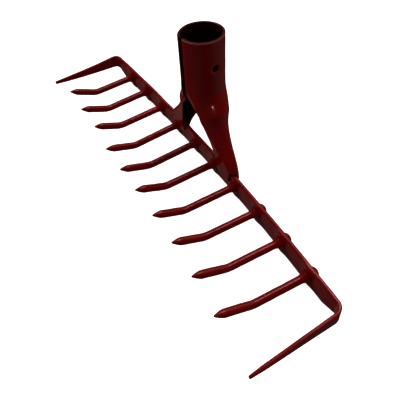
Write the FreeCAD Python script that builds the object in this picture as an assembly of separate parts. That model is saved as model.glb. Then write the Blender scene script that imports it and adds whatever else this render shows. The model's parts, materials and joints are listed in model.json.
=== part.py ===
"""Rake head: a flat steel bar with ten riveted wire tines, two bent end tines and a pressed socket.

Frame: millimetres, +Z up along the height of the bar, +X along the bar, tines towards -Y.
Origin: the centre of the socket's mouth, where the handle goes in.
The pieces are drawn about the middle of the bar's front face, level with the tines, and are
moved to the origin as the last step.
"""
import FreeCAD, Part
import math
import os

V = FreeCAD.Vector
ALONG = V(1, 0, 0)
BACK = V(0, 1, 0)
UP = V(0, 0, 1)
FAR = 400.0                # longer than the whole object, for cutting tools
CLEAR = 1.0                # how far a cutting tool overshoots a face

# ---- driving dimensions -------------------------------------------------------------------
PITCH = 27.0               # from one tine to the next

BAR_HEIGHT = 17.0
BAR_THICK = 2.3
BAR_BOW = 5.4              # how far the ends of the bar curve forward of its middle
BAR_HALF_LENGTH = 152.2    # from the middle to the outer face of an end tine
BEND_RADIUS = 7.0          # outside of the bend into an end tine
TAPER_START = 136.0        # from the middle to where the lower edge begins to rise

END_TINE_REACH = 63.5      # forward reach of an end tine's point
END_TINE_ROOT_LOW = -1.8   # height of the lower edge at the root
END_TINE_TIP_LEVEL = 1.2   # height of the point
END_TINE_TIP_HALF = 0.9    # half height of the blunted point
END_TINE_SPLAY = 1.0       # outward lean in plan, degrees
END_TINE_THINNING = 8.0    # length over which the point also gets thinner
END_TINE_TIP_THICK = 1.2

WIRE_RADIUS = 2.5
KINK_LINE = 39.0           # the tines are kinked on one straight line, this far forward
KINK_ANGLE = 23.4          # degrees, up towards the socket
KINK_RADIUS = 14.0
POINT_SPAN = 23.7          # from the kink to the point, along the wire
POINT_LENGTH = 6.5
POINT_RADIUS = 0.6
# The tines were bent and riveted one by one: how much each leans up and how much further it is
# kinked (degrees), how much longer its point is, how far its hole is off level, and how much
# higher its rivet head is, from the -X end.
TINE_DIFFERENCES = [
    (1.4, 1.7, 0.0, 0.1, 0.0),
    (0.0, 1.5, 0.0, 0.0, 0.0),
    (0.0, 1.6, -1.3, 0.0, 0.0),
    (-1.8, -0.6, 0.0, -0.4, 0.0),
    (-1.4, -0.6, 0.0, -0.4, 0.0),
    (0.2, 0.0, 0.0, 0.0, 0.0),
    (0.4, 0.0, 0.0, 0.0, 0.0),
    (1.3, 0.0, 0.0, 0.4, 1.3),
    (0.7, -1.0, 1.1, 0.3, 1.3),
    (-0.6, -1.3, 2.5, -0.5, 1.3),
]
COLLAR_RADIUS = 3.9
COLLAR_FLANGE = 2.0        # full-width part of the collar; the rest tapers
COLLAR_LENGTH = 4.4
COLLAR_NOSE_RADIUS = 2.8   # the collar ends in a small step on the wire
SHANK_RADIUS = 2.1
HEAD_RADIUS = 4.7
HEAD_HEIGHT = 3.2
FIT_GAP = 0.02             # left between pieces that touch

SOCKET_OFFSET = -3.5       # the socket sits a little to one side of the middle
SOCKET_RADIUS = 13.8
SHEET = 1.5
SOCKET_LEAN = 3.2          # degrees, backwards
SOCKET_AXIS_BACK = 3.8     # where the socket's axis passes the level of the tines
SOCKET_TOP = 90.6          # along the axis, from the level of the tines to the mouth
SHOULDER = 55.0            # along the axis, where the tube ends and the legs begin
SEAM_GAP = 3.0             # the sheet's two edges do not meet
SEAM_OFFSET = -1.2         # from the tube's foremost line to the middle of the gap
SCREW_HOLE_RADIUS = 2.4
SCREW_HOLE_LEVEL = 72.4    # along the axis
SCREW_HOLE_TURN = 5.0      # degrees behind the +X side

FORK_APEX = 50.3           # height where the two legs part
FORK_FOOT = 4.0            # height where the fork's sides have become upright
FORK_HALF_WIDTH = 24.0     # half the clear width between the legs' front edges at their feet
FORK_HALF_WIDTH_BACK = 26.5
FORK_EASE_FRONT = 2.0      # how round the fork's arch is: 1 is a straight V
FORK_EASE_BACK = 1.1
FORK_STEPS = 8             # points along each side of the arch
SEAM_OVERLAP = 4.0         # the seam is cut this far into the fork
# A leg is a trough, open towards the middle. Below the shoulder it is shaped at these heights
# by how far its outer bend reaches from the socket's middle, and by its back and front.
LEG_SHAPE = [
    # height, outermost, back, front, how far the back's free edge stands behind the back
    (43.8, 20.5, 17.1, -5.3, 1.5),
    (32.6, 24.8, 12.6, -4.2, 2.4),
    (21.4, 33.1, 8.8, -2.9, 1.4),
    (10.2, 43.0, 5.3, -2.0, 0.0),
]
LEG_EDGE_STAND_OFF = 1.3   # the front's free edge stands this far before the front, at the foot
FOOT_SPREAD = 3.5          # the legs go on spreading below the notch, by this much at the bottom
FLAP_GAP = 0.33            # between a foot's front flap and the middle of the bowed bar
NOTCH_LEVEL = 10.2         # a leg's outer bend stops here, just above the bar
NOTCH_DROP = 1.4           # height of the slope from the notch into a foot's outer edge
NOTCH_SLOPE = 1.2          # width of that slope
FOOT_LOW = -0.2            # lower edge of a foot
FOOT_OUT = 36.8            # outer end of a foot's lower edge
FOOT_OUT_SLOPE = 3.1       # a foot's outer edge leans out by this much over its height
FOOT_CORNER = 3.4          # height of the lower corner at a foot's free edge
FOOT_CORNER_OUT = 31.7     # where the rising part of a foot's lower edge begins
COLLAR_CLEARANCE = 0.8     # cut-out in a foot around a neighbouring collar or head

WELD_RADIUS = 1.3
WELD_LOW = 3.4             # lower and upper end of a weld's middle line
WELD_TOP = 7.2
WELD_GAP = 0.05            # between a weld and the flap's edge

BAR_RADIUS = BAR_HALF_LENGTH ** 2 / (2 * BAR_BOW)


# ---- shared helpers -----------------------------------------------------------------------
def prism(points, direction):
    """A closed outline of points pushed along a direction."""
    return Part.Face(Part.makePolygon(points + [points[0]])).extrude(direction)


def mirrored(shape):
    """The same shape on the other side of the middle plane."""
    return shape.mirror(V(0, 0, 0), ALONG)


def fuse_all(shapes):
    """One clean solid out of overlapping ones."""
    return shapes[0].multiFuse(shapes[1:]).removeSplitter()


def front_face(x):
    """How far back the front face of the bowed bar is at x."""
    return math.sqrt(BAR_RADIUS ** 2 - x * x) - BAR_RADIUS


def tine_positions():
    """The x of every round tine, starting at the -X end."""
    count = len(TINE_DIFFERENCES)
    first = -PITCH * (count - 1) / 2
    return [first + PITCH * number for number in range(count)]


def set_square_to_bar(shape, x):
    """Puts a shape made about the origin on the bar's front face at x, square to the bow."""
    shape.rotate(V(0, 0, 0), UP, -math.degrees(math.asin(x / BAR_RADIUS)))
    shape.translate(V(x, front_face(x), 0))
    return shape


# ---- bar ----------------------------------------------------------------------------------
def bar_plan():
    """The whole bar seen from above: a bowed strip with a straight strip at each end."""
    inner = BAR_HALF_LENGTH - BAR_THICK
    lean = math.tan(math.radians(END_TINE_SPLAY))
    thin_start = END_TINE_REACH - END_TINE_THINNING
    root = front_face(inner)
    back = front_face(BAR_HALF_LENGTH) + BAR_THICK
    half_tip = END_TINE_TIP_THICK / 2
    half_thick = BAR_THICK / 2

    def strip_point(from_middle_of_strip, reach):
        middle = BAR_HALF_LENGTH - half_thick + lean * (reach + root)
        return V(middle + from_middle_of_strip, -reach, 0)

    right = [
        V(inner, root, 0),
        strip_point(-half_thick, thin_start),
        strip_point(-half_tip, END_TINE_REACH),
        strip_point(half_tip, END_TINE_REACH),
        strip_point(half_thick, thin_start),
        V(BAR_HALF_LENGTH, back, 0),
    ]
    left = [V(-point.x, point.y, 0) for point in reversed(right)]
    edges = [Part.makeLine(a, b) for a, b in zip(right, right[1:])]
    edges.append(Part.Arc(right[-1], V(0, BAR_THICK, 0), left[0]).toShape())
    edges += [Part.makeLine(a, b) for a, b in zip(left, left[1:])]
    edges.append(Part.Arc(left[-1], V(0, 0, 0), right[0]).toShape())
    return Part.Face(Part.Wire(edges))


def bend_edges(solid, x, y):
    """The upright edges of the bar nearest to (+-x, y)."""
    found = []
    for edge in solid.Edges:
        ends = [vertex.Point for vertex in edge.Vertexes]
        upright = len(ends) == 2 and (ends[0] - ends[1]).cross(UP).Length < 1e-6
        if upright and math.hypot(abs(ends[0].x) - x, ends[0].y - y) < 0.01:
            found.append(edge)
    return found


def end_tine_waste():
    """What is cut away so that a strip end becomes a pointed tine, on the +X side."""
    half = BAR_HEIGHT / 2
    beyond = half + CLEAR
    root = front_face(BAR_HALF_LENGTH)
    past_tip = END_TINE_REACH + CLEAR
    inside = BAR_HALF_LENGTH - BEND_RADIUS
    tip_top = END_TINE_TIP_LEVEL + END_TINE_TIP_HALF
    tip_low = END_TINE_TIP_LEVEL - END_TINE_TIP_HALF
    above = [
        V(inside, root, half),
        V(inside, -END_TINE_REACH, tip_top),
        V(inside, -past_tip, tip_top),
        V(inside, -past_tip, beyond),
        V(inside, root, beyond),
    ]
    below = [
        V(inside, root, END_TINE_ROOT_LOW),
        V(inside, -END_TINE_REACH, tip_low),
        V(inside, -past_tip, tip_low),
        V(inside, -past_tip, -beyond),
        V(inside, root, -beyond),
    ]
    rising_edge = [
        V(TAPER_START, -FAR / 2, -half),
        V(BAR_HALF_LENGTH - BAR_THICK, -FAR / 2, END_TINE_ROOT_LOW),
        V(FAR, -FAR / 2, END_TINE_ROOT_LOW),
        V(FAR, -FAR / 2, -beyond),
        V(TAPER_START, -FAR / 2, -beyond),
    ]
    return [prism(above, ALONG * FAR), prism(below, ALONG * FAR), prism(rising_edge, BACK * FAR)]


def head_bar():
    """The flat bar on edge with its two end tines and the holes for the round tines."""
    bar = bar_plan().extrude(UP * BAR_HEIGHT)
    bar.translate(UP * (-BAR_HEIGHT / 2))
    inner = BAR_HALF_LENGTH - BAR_THICK
    outer_y = front_face(BAR_HALF_LENGTH) + BAR_THICK
    bar = bar.makeFillet(BEND_RADIUS, bend_edges(bar, BAR_HALF_LENGTH, outer_y))
    bar = bar.makeFillet(BEND_RADIUS - BAR_THICK, bend_edges(bar, inner, front_face(inner)))
    waste = end_tine_waste()
    waste += [mirrored(piece) for piece in waste]
    for x, (_, _, _, off_level, _) in zip(tine_positions(), TINE_DIFFERENCES):
        start = V(0, -BAR_HEIGHT, off_level)
        hole = Part.makeCylinder(SHANK_RADIUS + FIT_GAP, 2 * BAR_HEIGHT, start, BACK)
        waste.append(set_square_to_bar(hole, x))
    return bar.cut(waste).removeSplitter()


# ---- round tines --------------------------------------------------------------------------
def tine_root(head_height):
    """Head behind the bar, shank through it and collar in front of it, about the Y axis."""
    ball = (HEAD_RADIUS ** 2 + head_height ** 2) / (2 * head_height)
    cap_start = math.degrees(math.asin((ball - head_height) / ball))
    back = BAR_THICK + FIT_GAP
    head = Part.makeSphere(ball, V(0, back + head_height - ball, 0), BACK, cap_start, 90, 360)
    shank = Part.makeCylinder(SHANK_RADIUS, back + 2 * FIT_GAP, V(0, -FIT_GAP, 0), BACK)
    flange = Part.makeCylinder(COLLAR_RADIUS, COLLAR_FLANGE, V(0, -FIT_GAP, 0), -BACK)
    taper = Part.makeCone(
        COLLAR_RADIUS, COLLAR_NOSE_RADIUS, COLLAR_LENGTH - COLLAR_FLANGE,
        V(0, -FIT_GAP - COLLAR_FLANGE, 0), -BACK)
    return [head, shank, flange, taper]


def tine_wire(kink_at, lean_up, extra_kink, extra_length):
    """Straight wire, kink and pointed end, starting at the origin towards -Y."""
    kink = KINK_ANGLE + extra_kink
    angle = math.radians(kink)
    tangent = KINK_RADIUS * math.tan(angle / 2)
    bend_start = V(0, -(kink_at - tangent), 0)
    centre = bend_start + UP * KINK_RADIUS
    onward = V(0, -math.cos(angle), math.sin(angle))
    bend_end = V(0, -kink_at, 0) + onward * tangent
    straight_end = POINT_SPAN + extra_length - tangent - POINT_LENGTH
    point_start = bend_end + onward * straight_end
    cone_length = POINT_LENGTH - POINT_RADIUS
    ring = Part.Face(Part.Wire(Part.makeCircle(WIRE_RADIUS, bend_start, BACK)))
    pieces = [
        Part.makeCylinder(WIRE_RADIUS, bend_start.Length, V(0, 0, 0), -BACK),
        ring.revolve(centre, -ALONG, kink),
        Part.makeCylinder(WIRE_RADIUS, straight_end, bend_end, onward),
        Part.makeCone(WIRE_RADIUS, POINT_RADIUS, cone_length, point_start, onward),
        Part.makeSphere(POINT_RADIUS, point_start + onward * cone_length),
    ]
    for piece in pieces:
        piece.rotate(V(0, 0, 0), ALONG, -lean_up)
    return pieces


def tine(x, lean_up, extra_kink, extra_length, off_level, extra_head):
    """One round tine in its place on the bar; its kink is on the common straight line."""
    turn = math.asin(x / BAR_RADIUS)
    kink_at = (KINK_LINE + front_face(x)) / math.cos(turn)
    root = tine_root(HEAD_HEIGHT + extra_head)
    shape = fuse_all(root + tine_wire(kink_at, lean_up, extra_kink, extra_length))
    shape.translate(UP * off_level)
    return set_square_to_bar(shape, x)


# ---- socket -------------------------------------------------------------------------------
def on_axis(level):
    """A point on the socket's axis, so far along it."""
    lean = math.radians(SOCKET_LEAN)
    return V(0, SOCKET_AXIS_BACK + level * math.sin(lean), level * math.cos(lean))


def axis_direction():
    """Along the socket's axis, upwards."""
    return (on_axis(1) - on_axis(0)).normalize()


def socket_tube():
    """The round part that takes the handle."""
    length = SOCKET_TOP - SHOULDER
    start = on_axis(SHOULDER)
    outside = Part.makeCylinder(SOCKET_RADIUS, length, start, axis_direction())
    inside = Part.makeCylinder(SOCKET_RADIUS - SHEET, length, start, axis_direction())
    return outside.cut(inside)


def leg_section(level, out, back, front, before, behind, lean):
    """Cross-section of the +X leg: front wall, outer bend, back wall, each one sheet thick.

    The free edges stand before the front wall's bend and behind the back wall's bend.
    """
    radius = (back - front) / 2
    middle = (back + front) / 2
    wall = out - radius
    free_edge = min(wall - SHEET, FORK_HALF_WIDTH) - 2 * SHEET

    def side(inset):
        return [
            V(free_edge, front - before + inset, level),
            V(wall, front + inset, level),
            V(out - inset, middle, level),
            V(wall, back - inset, level),
            V(free_edge, back + behind - inset, level),
        ]

    outer = side(0)
    inner = side(SHEET)
    wire = Part.Wire([
        Part.makeLine(outer[0], outer[1]),
        Part.Arc(outer[1], outer[2], outer[3]).toShape(),
        Part.makeLine(outer[3], outer[4]),
        Part.makeLine(outer[4], inner[4]),
        Part.makeLine(inner[4], inner[3]),
        Part.Arc(inner[3], inner[2], inner[1]).toShape(),
        Part.makeLine(inner[1], inner[0]),
        Part.makeLine(inner[0], outer[0]),
    ])
    wire.rotate(V(0, middle, level), ALONG, -lean)
    return wire


def leg():
    """The +X leg: it leaves the tube as a half round and closes up until it straddles the bar."""
    top = on_axis(SHOULDER)
    tube_back = top.y + SOCKET_RADIUS
    tube_front = top.y - SOCKET_RADIUS
    sections = [leg_section(top.z, SOCKET_RADIUS, tube_back, tube_front, 0, 0, SOCKET_LEAN)]
    for level, out, back, front, behind in LEG_SHAPE:
        share = (top.z - level) / (top.z - NOTCH_LEVEL)
        before = LEG_EDGE_STAND_OFF * share
        lean = SOCKET_LEAN * (1 - share)
        sections.append(leg_section(level, out, back, front, before, behind, lean))
    trough = Part.makeLoft(sections, True, False)
    out = LEG_SHAPE[-1][1] + FOOT_SPREAD
    tight_back = BAR_THICK + SHEET
    tight_front = -SHEET - FLAP_GAP
    tight = leg_section(FOOT_LOW - 1, out, tight_back, tight_front, LEG_EDGE_STAND_OFF, 0, 0)
    foot = Part.makeLoft([sections[-1], tight], True, True)
    keep = Part.makeBox(FAR, FAR, FAR, V(0, -FAR / 2, -FAR / 2))
    return fuse_all([trough, foot]).common(keep)


def foot_waste():
    """What is cut off a foot so that it straddles the bar, on the +X side."""
    low = -BAR_HEIGHT
    shelf = FOOT_OUT + FOOT_OUT_SLOPE
    start = -FAR / 2
    lower_edge = [
        V(0, start, FOOT_CORNER),
        V(FORK_HALF_WIDTH, start, FOOT_CORNER),
        V(FOOT_CORNER_OUT, start, FOOT_LOW),
        V(FAR, start, FOOT_LOW),
        V(FAR, start, low),
        V(0, start, low),
    ]
    notch = [
        V(FOOT_OUT, start, FOOT_LOW),
        V(shelf, start, NOTCH_LEVEL - NOTCH_DROP),
        V(shelf + NOTCH_SLOPE, start, NOTCH_LEVEL),
        V(FAR, start, NOTCH_LEVEL),
        V(FAR, start, low),
        V(FOOT_OUT, start, low),
    ]
    to_bar_back = BACK * (BAR_THICK - start)
    return [prism(lower_edge, BACK * FAR), prism(notch, to_bar_back)]


def fork_edge(level, half_width, ease):
    """Half width of the gap between the legs at a height."""
    share = max(level - FORK_FOOT, 0) / (FORK_APEX - FORK_FOOT)
    return half_width * (1 - share ** ease)


def fork_half(start, depth, half_width, ease):
    """The arched gap between the legs, over one stretch of the depth."""
    span = FORK_APEX - FORK_FOOT
    levels = [FORK_FOOT + span * number / FORK_STEPS for number in range(FORK_STEPS + 1)]
    right = [V(fork_edge(level, half_width, ease), start, level) for level in levels]
    left = [V(-point.x, point.y, point.z) for point in right]
    low = -BAR_HEIGHT
    edges = [
        Part.makeLine(left[0], V(-half_width, start, low)),
        Part.makeLine(V(-half_width, start, low), V(half_width, start, low)),
        Part.makeLine(V(half_width, start, low), right[0]),
    ]
    for points in (right, left):
        curve = Part.BSplineCurve()
        curve.interpolate(points)
        edges.append(curve.toShape())
    return Part.Face(Part.Wire(Part.__sortEdges__(edges))).extrude(BACK * depth)


def head_reliefs():
    """Room in the feet for the collars and heads of the round tines."""
    reliefs = []
    for x in tine_positions():
        radius = HEAD_RADIUS + COLLAR_CLEARANCE
        relief = Part.makeCylinder(radius, FAR, V(0, -FAR / 2, 0), BACK)
        reliefs.append(set_square_to_bar(relief, x))
    return reliefs


def handle_socket():
    """The pressing that takes the handle: an open-seamed tube above, two straddling legs below."""
    right_leg = leg().cut(foot_waste())
    socket = fuse_all([socket_tube(), right_leg, mirrored(right_leg)])
    seam_depth = 2 * SOCKET_RADIUS
    seam_start = V(SEAM_OFFSET - SEAM_GAP / 2, -seam_depth, 0)
    seam = Part.makeBox(SEAM_GAP, seam_depth, SOCKET_TOP, seam_start)
    seam.rotate(V(0, 0, 0), ALONG, -SOCKET_LEAN)
    seam.translate(on_axis(FORK_APEX - SEAM_OVERLAP))
    turn = math.radians(SCREW_HOLE_TURN)
    outward = V(math.cos(turn), math.sin(turn), 0)
    hole = Part.makeCylinder(SCREW_HOLE_RADIUS, 2 * SOCKET_RADIUS, on_axis(SCREW_HOLE_LEVEL), outward)
    middle = BAR_THICK / 2
    front_gap = fork_half(-FAR / 2, FAR / 2 + middle, FORK_HALF_WIDTH, FORK_EASE_FRONT)
    back_gap = fork_half(middle, FAR / 2, FORK_HALF_WIDTH_BACK, FORK_EASE_BACK)
    socket = socket.cut([seam, hole, front_gap, back_gap])
    socket.translate(ALONG * SOCKET_OFFSET)
    return socket.cut(head_reliefs()).removeSplitter()


# ---- welds --------------------------------------------------------------------------------
def weld(side, bar):
    """A bead behind the bar, in the corner beside the inner edge of a foot's back flap."""
    def beside_flap(level, gap):
        edge = fork_edge(level, FORK_HALF_WIDTH_BACK, FORK_EASE_BACK) - gap
        return V(SOCKET_OFFSET + side * edge, 0, level)

    low = beside_flap(WELD_LOW, WELD_GAP)
    top = beside_flap(WELD_TOP, WELD_GAP)
    to_back = BACK * (front_face(low.x) + BAR_THICK)
    bead = [
        Part.makeCylinder(WELD_RADIUS, (top - low).Length, low + to_back, top - low),
        Part.makeSphere(WELD_RADIUS, low + to_back),
        Part.makeSphere(WELD_RADIUS, top + to_back),
    ]
    below = beside_flap(WELD_LOW - 2 * WELD_RADIUS, WELD_GAP)
    above = beside_flap(WELD_TOP + 2 * WELD_RADIUS, WELD_GAP)
    outwards = ALONG * side * FAR
    flap = prism([below, low, top, above, above + outwards, below + outwards], BACK * FAR)
    bar_with_gap = bar.copy()
    bar_with_gap.translate(BACK * FIT_GAP)
    return fuse_all(bead).cut([bar_with_gap, flap])


# ---- everything ---------------------------------------------------------------------------
def all_parts():
    """Every piece by its node's name."""
    bar = head_bar()
    socket = handle_socket()
    pieces = {"head_bar": bar, "handle_socket": socket}
    pieces["weld_left"] = weld(-1, bar)
    pieces["weld_right"] = weld(1, bar)
    for number, x in enumerate(tine_positions()):
        pieces["tine_%02d" % (number + 1)] = tine(x, *TINE_DIFFERENCES[number])
    mouth = on_axis(SOCKET_TOP) + ALONG * SOCKET_OFFSET
    for shape in pieces.values():
        shape.translate(-mouth)
    return pieces


os.makedirs("parts", exist_ok=True)
for name, shape in all_parts().items():
    shape.exportStep("parts/%s.step" % name)
    box = shape.BoundBox
    print("%-14s %d solid, valid %s, volume %.0f" % (name, len(shape.Solids), shape.isValid(), shape.Volume))
    print("    x %.1f %.1f  y %.1f %.1f  z %.1f %.1f" % (
        box.XMin, box.XMax, box.YMin, box.YMax, box.ZMin, box.ZMax))
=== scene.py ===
import json
import math

import bmesh
import bpy
import numpy as np
from mathutils import Matrix, Vector, noise


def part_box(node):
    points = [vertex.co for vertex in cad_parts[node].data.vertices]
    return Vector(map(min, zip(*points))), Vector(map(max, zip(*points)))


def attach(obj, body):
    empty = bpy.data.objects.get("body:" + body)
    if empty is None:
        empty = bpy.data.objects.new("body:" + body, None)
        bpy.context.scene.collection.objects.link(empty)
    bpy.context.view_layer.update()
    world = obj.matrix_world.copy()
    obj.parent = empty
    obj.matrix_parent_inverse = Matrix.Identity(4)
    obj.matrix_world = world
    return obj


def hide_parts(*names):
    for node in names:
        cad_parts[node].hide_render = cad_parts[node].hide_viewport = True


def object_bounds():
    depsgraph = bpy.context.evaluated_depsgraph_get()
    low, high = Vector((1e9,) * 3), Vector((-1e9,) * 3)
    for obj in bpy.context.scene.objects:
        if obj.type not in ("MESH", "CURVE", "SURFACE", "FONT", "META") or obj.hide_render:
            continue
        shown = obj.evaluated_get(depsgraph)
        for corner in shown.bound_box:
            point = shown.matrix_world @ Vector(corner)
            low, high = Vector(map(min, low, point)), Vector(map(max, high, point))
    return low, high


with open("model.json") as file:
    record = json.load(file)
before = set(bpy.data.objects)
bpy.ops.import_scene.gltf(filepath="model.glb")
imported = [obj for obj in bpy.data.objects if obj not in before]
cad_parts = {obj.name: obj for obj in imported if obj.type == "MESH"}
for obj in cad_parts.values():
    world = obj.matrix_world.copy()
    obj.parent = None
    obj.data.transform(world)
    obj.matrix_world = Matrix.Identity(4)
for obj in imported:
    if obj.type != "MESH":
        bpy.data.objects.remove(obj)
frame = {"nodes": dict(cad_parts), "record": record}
cad_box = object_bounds()

# Every shape is drawn in millimetres about the middle of the bar's front face, level with the
# tines, and then put in its place by PLACE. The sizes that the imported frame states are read
# from it; the values below are the finer ones.
MM = 0.001

# ---- what the frame says --------------------------------------------------------------------
BAR_LOW, BAR_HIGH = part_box("head_bar")
MOUNTS = {mount["name"]: mount for mount in frame["record"]["mounts"]}
BORE = MOUNTS["handle_socket_bore"]
SCREW = MOUNTS["handle_screw_hole"]
TINE_NODES = sorted(name for name in frame["nodes"] if name.startswith("tine_"))
TINE_COUNT = len(TINE_NODES)


def box_middle(node):
    """Middle of a CAD node's box."""
    low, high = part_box(node)
    return (low + high) / 2


MIDDLE_NODES = TINE_NODES[TINE_COUNT // 2 - 1:TINE_COUNT // 2 + 1]
PITCH = (box_middle(MIDDLE_NODES[1]).x - box_middle(MIDDLE_NODES[0]).x) / MM
BAR_HALF = (BAR_HIGH.z - BAR_LOW.z) / 2 / MM
BAR_THICK = 2.3
PLACE = Vector(((BAR_LOW.x + BAR_HIGH.x) / 2, BAR_HIGH.y - BAR_THICK * MM, (BAR_LOW.z + BAR_HIGH.z) / 2))
END_TINE_REACH = (PLACE.y - BAR_LOW.y) / MM
MOUTH = (Vector(BORE["pos_m"]) - PLACE) / MM
LEAN = math.atan2(BORE["axis"][1], BORE["axis"][2])
SHEET = 1.5
SOCKET_RADIUS = BORE["dims"]["r_mm"] + SHEET
SOCKET_TOP = MOUTH.z / math.cos(LEAN)
SOCKET_AXIS_BACK = MOUTH.y - SOCKET_TOP * math.sin(LEAN)
SHOULDER = SOCKET_TOP - BORE["dims"]["length_mm"]

# ---- finer sizes ----------------------------------------------------------------------------
BAR_BOW = 5.4
BAR_HALF_LENGTH = 152.2
BAR_RADIUS = BAR_HALF_LENGTH ** 2 / (2 * BAR_BOW)
BEND_RADIUS = 7.0
TAPER_START = 136.0
END_TINE_ROOT_LOW = -1.8
END_TINE_TIP_LEVEL = 1.2
END_TINE_TIP_HALF = 1.3
END_TINE_SPLAY = math.radians(1.0)
END_TINE_THINNING = 8.0
END_TINE_TIP_THICK = 1.6
LEFT_TINE_LIFT = 2.8       # the -X end tine curves up by this much and is longer by the next
LEFT_TINE_EXTRA = 1.0
EDGE_ROUND = 0.8
SWELLING = 0.8             # the bar stands forward this much around each rivet
SWELLING_WIDTH = 4.2
SWELLING_HEIGHT = 6.0      # it fades over this height
SWELLING_AT_EDGE = 0.8     # share of it that never fades

WIRE_RADIUS = 2.5
FORGED_RADIUS = 2.6        # beyond the kink
KINK_LINE = 39.0
KINK_ANGLE = 23.4
KINK_RADIUS = 14.0
POINT_SPAN = 23.7
POINT_LENGTH = 6.5
POINT_RADIUS = 0.6
SHANK_RADIUS = 2.1
HEAD_RADIUS = 4.7
HEAD_HEIGHT = 3.2
HEAD_CLEARANCE = 0.8       # cut-out in a foot around a neighbouring collar or head
# One row for each tine, from the -X end: how much it leans up and how much further it is kinked
# (degrees), how much longer its point is, how far its hole is off level, and how much higher its
# rivet head is.
TINE_DIFFERENCES = [
    (1.4, 1.7, 0.0, 0.1, 0.0),
    (0.0, 1.5, 0.0, 0.0, 0.0),
    (0.0, 1.6, -1.3, 0.0, 0.0),
    (-1.8, -0.6, 0.0, -0.4, 0.0),
    (-1.4, -0.6, 0.0, -0.4, 0.0),
    (0.2, 0.0, 0.0, 0.0, 0.0),
    (0.4, 0.0, 0.0, 0.0, 0.0),
    (1.3, 0.0, 0.0, 0.4, 1.3),
    (0.7, -1.0, 1.1, 0.3, 1.3),
    (-0.6, -1.3, 2.5, -0.5, 1.3),
]

SEAM_GAP = 3.0
SEAM_OFFSET = -1.2
SEAM_LIFT = 1.3            # the -X edge of the seam stands out from the round
FORK_APEX = 50.3
FORK_FOOT = 4.0
FORK_HALF_WIDTH = 24.0
FORK_HALF_WIDTH_BACK = 26.5
FORK_EASE_FRONT = 2.0
FORK_EASE_BACK = 1.1
LEG_SHAPE = [
    # height, outermost, back, front, how far the back's free edge stands behind the back
    (43.8, 20.5, 17.1, -5.3, 0.7),
    (32.6, 24.8, 12.6, -4.2, 2.4),
    (21.4, 33.1, 8.8, -2.9, 1.4),
    (10.2, 43.0, 5.3, -2.0, 0.0),
    (-1.2, 46.5, 3.8, -1.83, 0.0),
]
LEG_EDGE_STAND_OFF = 1.3
NOTCH_LEVEL = 10.2
FOOT_LOW = -0.2
FOOT_CORNER = 3.4
FOOT_CORNER_OUT = 31.7
FOOT_OUT = 36.8
FOOT_OUT_SLOPE = 3.1
NOTCH_DROP = 1.4
NOTCH_SLOPE = 1.2
CREASE_LEVEL = 54.3        # along the axis, at the side
CREASE_DROP = 12.8         # how much lower the crease meets a leg's front edge
CREASE_STRAIGHT = math.radians(22)
CREASE_END = math.radians(51)
# the sheet's waves below the crease: how far below it, how deep or proud, how wide
CREASE_WAVES = [
    (0.2, -0.20, 1.0),
    (4.2, -0.60, 2.2),
    (11.6, 0.85, 3.2),
]
KNEE_LEVEL = 42.0
CREASE_FADE_FRONT = 0.6    # share of the waves' depth lost towards the leg's front edge
CREASE_BACK_END = math.radians(34)
MOUTH_HIGHLIGHT_WIDTH = 0.8           # width of the painted highlight line at the mouth's outer edge
# colour of the painted highlight line round the mouth's outer edge
MOUTH_HIGHLIGHT_COLOUR = (0.90, 0.50, 0.45, 1)
WELD_SLENDERNESS = 5.0     # length over radius of a weld bead
WELD_RIPPLE = 0.08
WELD_RIPPLES = 6
HOLE_RADIUS = SCREW["dims"]["r_mm"]
HOLE_EDGE_BAND = 0.24      # points this near a hole's edge are moved onto it
HOLE_SNAP = 2.0            # so are the neighbours of its inside, up to this far out
SCREW_HOLE_REACH = 4.0     # how far along the hole's axis, and round it, the sheet belongs to it
SCREW_HOLE_DISH = 0.45     # how deep the hole's edge is pressed in
SCREW_HOLE_DISH_WIDTH = 0.9
RELIEF_REACH = 12.0        # a foot's cut-outs reach this far before and behind the bar


# ---- mesh helpers ---------------------------------------------------------------------------
def placed(points):
    """Points drawn in millimetres, put in the row frame in metres."""
    return np.asarray(points, float) * MM + np.array(PLACE)


def wander(points, size, amount, seed):
    """A slow random value for each point: size is the length of the waves, amount their height."""
    shift = Vector((seed * 17.3, seed * 5.1, seed * 9.7))
    return np.array([amount * noise.noise(Vector(p) / size + shift) for p in points])


def new_piece(name, points, faces, node, materials):
    """An object of smooth faces that rides on the frame and stands for a CAD node."""
    mesh = bpy.data.meshes.new(name)
    mesh.from_pydata([tuple(p) for p in placed(points)], [], faces)
    work = bmesh.new()
    work.from_mesh(mesh)
    bmesh.ops.remove_doubles(work, verts=work.verts, dist=0.004 * MM)
    bmesh.ops.recalc_face_normals(work, faces=work.faces)
    work.to_mesh(mesh)
    work.free()
    mesh.polygons.foreach_set("use_smooth", [True] * len(mesh.polygons))
    for material in materials:
        mesh.materials.append(material)
    piece = bpy.data.objects.new(name, mesh)
    bpy.context.scene.collection.objects.link(piece)
    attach(piece, "root")
    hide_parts(node)
    return piece


def ring_faces(rows, columns):
    """Faces between rings of points, with a cap on the first and the last ring."""
    faces = []
    for row in range(rows - 1):
        for column in range(columns):
            here = row * columns + column
            beside = row * columns + (column + 1) % columns
            faces.append((here, beside, beside + columns, here + columns))
    faces.append(tuple(reversed(range(columns))))
    faces.append(tuple(range((rows - 1) * columns, rows * columns)))
    return faces


def front_face(x):
    """How far back the front face of the bowed bar is at x."""
    return math.sqrt(BAR_RADIUS ** 2 - x * x) - BAR_RADIUS


def tine_positions():
    """The x of every round tine, starting at the -X end."""
    return [PITCH * (number - (TINE_COUNT - 1) / 2) for number in range(TINE_COUNT)]


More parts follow.
